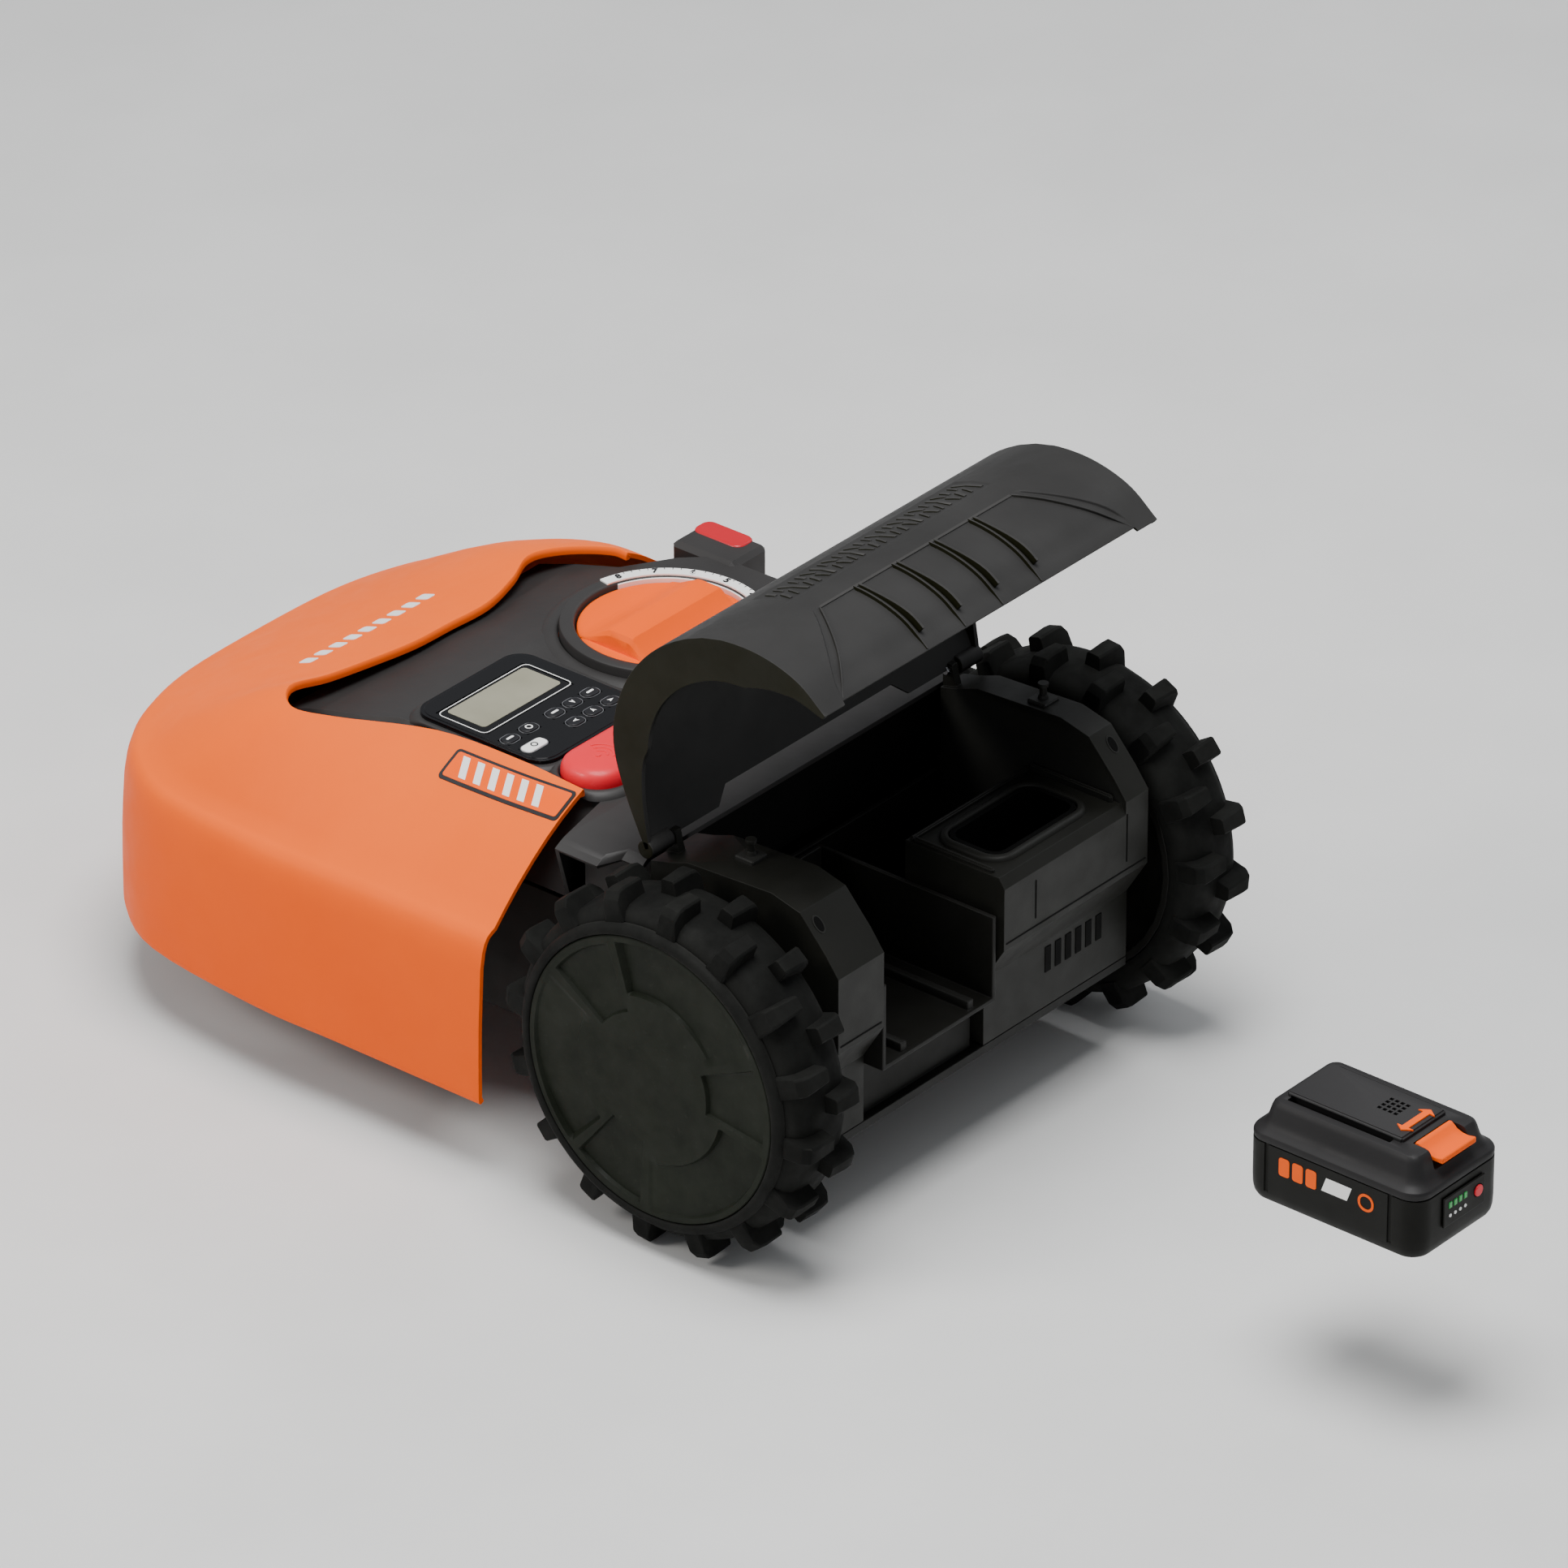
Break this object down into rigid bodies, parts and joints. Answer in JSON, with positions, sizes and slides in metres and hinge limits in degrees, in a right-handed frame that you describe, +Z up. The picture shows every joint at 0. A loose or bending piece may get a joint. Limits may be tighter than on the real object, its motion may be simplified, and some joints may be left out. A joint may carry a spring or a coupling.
{
  "type": "robotic lawn mower",
  "caption": "Two-wheel-drive robotic lawn mower with a floating front shell, deck controls, hinged rear cover and slide-out battery pack.",
  "frame": {"origin": "on the ground, at the middle of the footprint that the mower has with its battery pack drawn out", "axes": "+Z up, -Y the way the mower drives, +X its left side"},
  "size_m": [0.4, 0.9034, 0.361],
  "materials": {
    "orange_shell": "satin",
    "dark_grey": "fine matt grain",
    "black_plastic": "fine matt grain",
    "orange_control": "satin",
    "olive_cap": "matt",
    "tyre": "matt",
    "castor_tread": "matt",
    "red_plastic": "satin",
    "white_scale": "satin",
    "gloss_black": "gloss",
    "display": "clear over a grey-green display",
    "steel": "satin",
    "plated_contact": "bright",
    "motor_can": "satin",
    "board": "satin",
    "key_rubber": "matt",
    "mount_rubber": "matt"
  },
  "bodies": {
    "chassis": {"chassis_tub": "black_plastic", "top_deck": "dark_grey", "dial_surround": "dark_grey", "height_scale": "white_scale", "control_panel": "gloss_black", "display_window": "display", "contact_holder": "red_plastic", "contact_strip_1": "plated_contact", "contact_strip_2": "plated_contact", "left_rear_housing": "black_plastic", "right_rear_housing": "black_plastic", "module_pocket": "black_plastic", "left_hinge_pin": "steel", "right_hinge_pin": "steel", "battery_bay": "black_plastic", "bay_terminals": "black_plastic", "left_wheel_gearbox": "black_plastic", "right_wheel_gearbox": "black_plastic", "main_board": "board", "shell_mount": "mount_rubber"},
    "shell": {"front_shell": "orange_shell"},
    "dial": {"height_dial": "orange_control", "dial_screw": "steel"},
    "carriage": {"height_carriage": "black_plastic", "blade_motor": "motor_can"},
    "disc": {"cutting_disc": "black_plastic", "blade_screw_1": "steel", "blade_screw_2": "steel", "blade_screw_3": "steel"},
    "first_blade": {"blade_1": "steel"},
    "second_blade": {"blade_2": "steel"},
    "third_blade": {"blade_3": "steel"},
    "stop": {"stop_button": "red_plastic"},
    "cover": {"rear_cover": "dark_grey"},
    "battery": {"battery_base": "black_plastic", "battery_top": "dark_grey", "gauge_plate": "gloss_black"},
    "release": {"battery_release": "orange_control"},
    "gauge": {"gauge_button": "red_plastic"},
    "left_wheel": {"left_tyre": "tyre", "left_wheel_rim": "black_plastic", "left_hub_cap": "olive_cap", "left_drive_axle": "steel"},
    "right_wheel": {"right_tyre": "tyre", "right_wheel_rim": "black_plastic", "right_hub_cap": "olive_cap", "right_drive_axle": "steel"},
    "left_fork": {"left_castor_fork": "black_plastic"},
    "right_fork": {"right_castor_fork": "black_plastic"},
    "left_castor": {"left_castor_wheel": "castor_tread"},
    "right_castor": {"right_castor_wheel": "castor_tread"},
    "key_1_cap": {"key_1": "key_rubber"},
    "key_2_cap": {"key_2": "key_rubber"},
    "key_3_cap": {"key_3": "key_rubber"},
    "key_4_cap": {"key_4": "key_rubber"},
    "key_5_cap": {"key_5": "key_rubber"},
    "key_6_cap": {"key_6": "key_rubber"},
    "key_7_cap": {"key_7": "key_rubber"},
    "key_8_cap": {"key_8": "key_rubber"},
    "key_9_cap": {"key_9": "key_rubber"}
  },
  "joints": [
    {"name": "left_wheel_spin", "type": "hinge", "parent": "chassis", "child": "left_wheel", "pos_m": [0.171, 0.0183, 0.11], "axis": [1, 0, 0], "continuous": true},
    {"name": "right_wheel_spin", "type": "hinge", "parent": "chassis", "child": "right_wheel", "pos_m": [-0.171, 0.0183, 0.11], "axis": [1, 0, 0], "continuous": true},
    {"name": "left_castor_swivel", "type": "hinge", "parent": "chassis", "child": "left_fork", "pos_m": [0.115, -0.3337, 0.075], "axis": [0, 0, 1], "continuous": true},
    {"name": "left_castor_roll", "type": "hinge", "parent": "left_fork", "child": "left_castor", "pos_m": [0.115, -0.3137, 0.034], "axis": [1, 0, 0], "continuous": true},
    {"name": "right_castor_swivel", "type": "hinge", "parent": "chassis", "child": "right_fork", "pos_m": [-0.115, -0.3337, 0.075], "axis": [0, 0, 1], "continuous": true},
    {"name": "right_castor_roll", "type": "hinge", "parent": "right_fork", "child": "right_castor", "pos_m": [-0.115, -0.3137, 0.034], "axis": [1, 0, 0], "continuous": true},
    {"name": "dial_turn", "type": "hinge", "parent": "chassis", "child": "dial", "pos_m": [-0.068, -0.1937, 0.193], "axis": [0, 0, 1], "range_deg": [-90.5, 180.5]},
    {"name": "height_lift", "type": "slide", "parent": "chassis", "child": "carriage", "axis": [0, 0, 1], "range_m": [-0.01, 0.02]},
    {"name": "disc_spin", "type": "hinge", "parent": "carriage", "child": "disc", "pos_m": [0, -0.1517, 0.042], "axis": [0, 0, 1], "continuous": true},
    {"name": "first_blade_swing", "type": "hinge", "parent": "disc", "child": "first_blade", "pos_m": [0, -0.0817, 0.04], "axis": [0, 0, 1], "continuous": true},
    {"name": "second_blade_swing", "type": "hinge", "parent": "disc", "child": "second_blade", "pos_m": [-0.06062, -0.1867, 0.04], "axis": [0, 0, 1], "continuous": true},
    {"name": "third_blade_swing", "type": "hinge", "parent": "disc", "child": "third_blade", "pos_m": [0.06062, -0.1867, 0.04], "axis": [0, 0, 1], "continuous": true},
    {"name": "cover_hinge", "type": "hinge", "parent": "chassis", "child": "cover", "pos_m": [0, -0.0307, 0.211], "axis": [-1, 0, 0], "range_deg": [0, 90]},
    {"name": "battery_slide", "type": "slide", "parent": "chassis", "child": "battery", "axis": [0, 1, 0], "range_m": [-0.351, 0]},
    {"name": "release_press", "type": "slide", "parent": "battery", "child": "release", "axis": [0, 0, -1], "range_m": [0, 0.0025], "stiffness_N_per_m": 900, "springref_m": -0.001},
    {"name": "gauge_press", "type": "slide", "parent": "battery", "child": "gauge", "axis": [0, -1, 0], "range_m": [0, 0.0007], "stiffness_N_per_m": 1500, "springref_m": -0.0003},
    {"name": "stop_press", "type": "slide", "parent": "chassis", "child": "stop", "axis": [0, 0, -1], "range_m": [0, 0.004], "stiffness_N_per_m": 1200, "springref_m": -0.002},
    {"name": "shell_float", "type": "slide", "parent": "chassis", "child": "shell", "axis": [0, 1, 0], "range_m": [0, 0.004], "stiffness_N_per_m": 2500, "springref_m": -0.002},
    {"name": "key_1_press", "type": "slide", "parent": "chassis", "child": "key_1_cap", "axis": [0, 0, -1], "range_m": [0, 0.0008], "stiffness_N_per_m": 1500, "springref_m": -0.0003},
    {"name": "key_2_press", "type": "slide", "parent": "chassis", "child": "key_2_cap", "axis": [0, 0, -1], "range_m": [0, 0.0008], "stiffness_N_per_m": 1500, "springref_m": -0.0003},
    {"name": "key_3_press", "type": "slide", "parent": "chassis", "child": "key_3_cap", "axis": [0, 0, -1], "range_m": [0, 0.0008], "stiffness_N_per_m": 1500, "springref_m": -0.0003},
    {"name": "key_4_press", "type": "slide", "parent": "chassis", "child": "key_4_cap", "axis": [0, 0, -1], "range_m": [0, 0.0008], "stiffness_N_per_m": 1500, "springref_m": -0.0003},
    {"name": "key_5_press", "type": "slide", "parent": "chassis", "child": "key_5_cap", "axis": [0, 0, -1], "range_m": [0, 0.0008], "stiffness_N_per_m": 1500, "springref_m": -0.0003},
    {"name": "key_6_press", "type": "slide", "parent": "chassis", "child": "key_6_cap", "axis": [0, 0, -1], "range_m": [0, 0.0008], "stiffness_N_per_m": 1500, "springref_m": -0.0003},
    {"name": "key_7_press", "type": "slide", "parent": "chassis", "child": "key_7_cap", "axis": [0, 0, -1], "range_m": [0, 0.0008], "stiffness_N_per_m": 1500, "springref_m": -0.0003},
    {"name": "key_8_press", "type": "slide", "parent": "chassis", "child": "key_8_cap", "axis": [0, 0, -1], "range_m": [0, 0.0008], "stiffness_N_per_m": 1500, "springref_m": -0.0003},
    {"name": "key_9_press", "type": "slide", "parent": "chassis", "child": "key_9_cap", "axis": [0, 0, -1], "range_m": [0, 0.0008], "stiffness_N_per_m": 1500, "springref_m": -0.0003}
  ],
  "couplings": [
    {"joint": "dial_turn", "follows": "height_lift", "rad_per_m": 157.08}
  ]
}
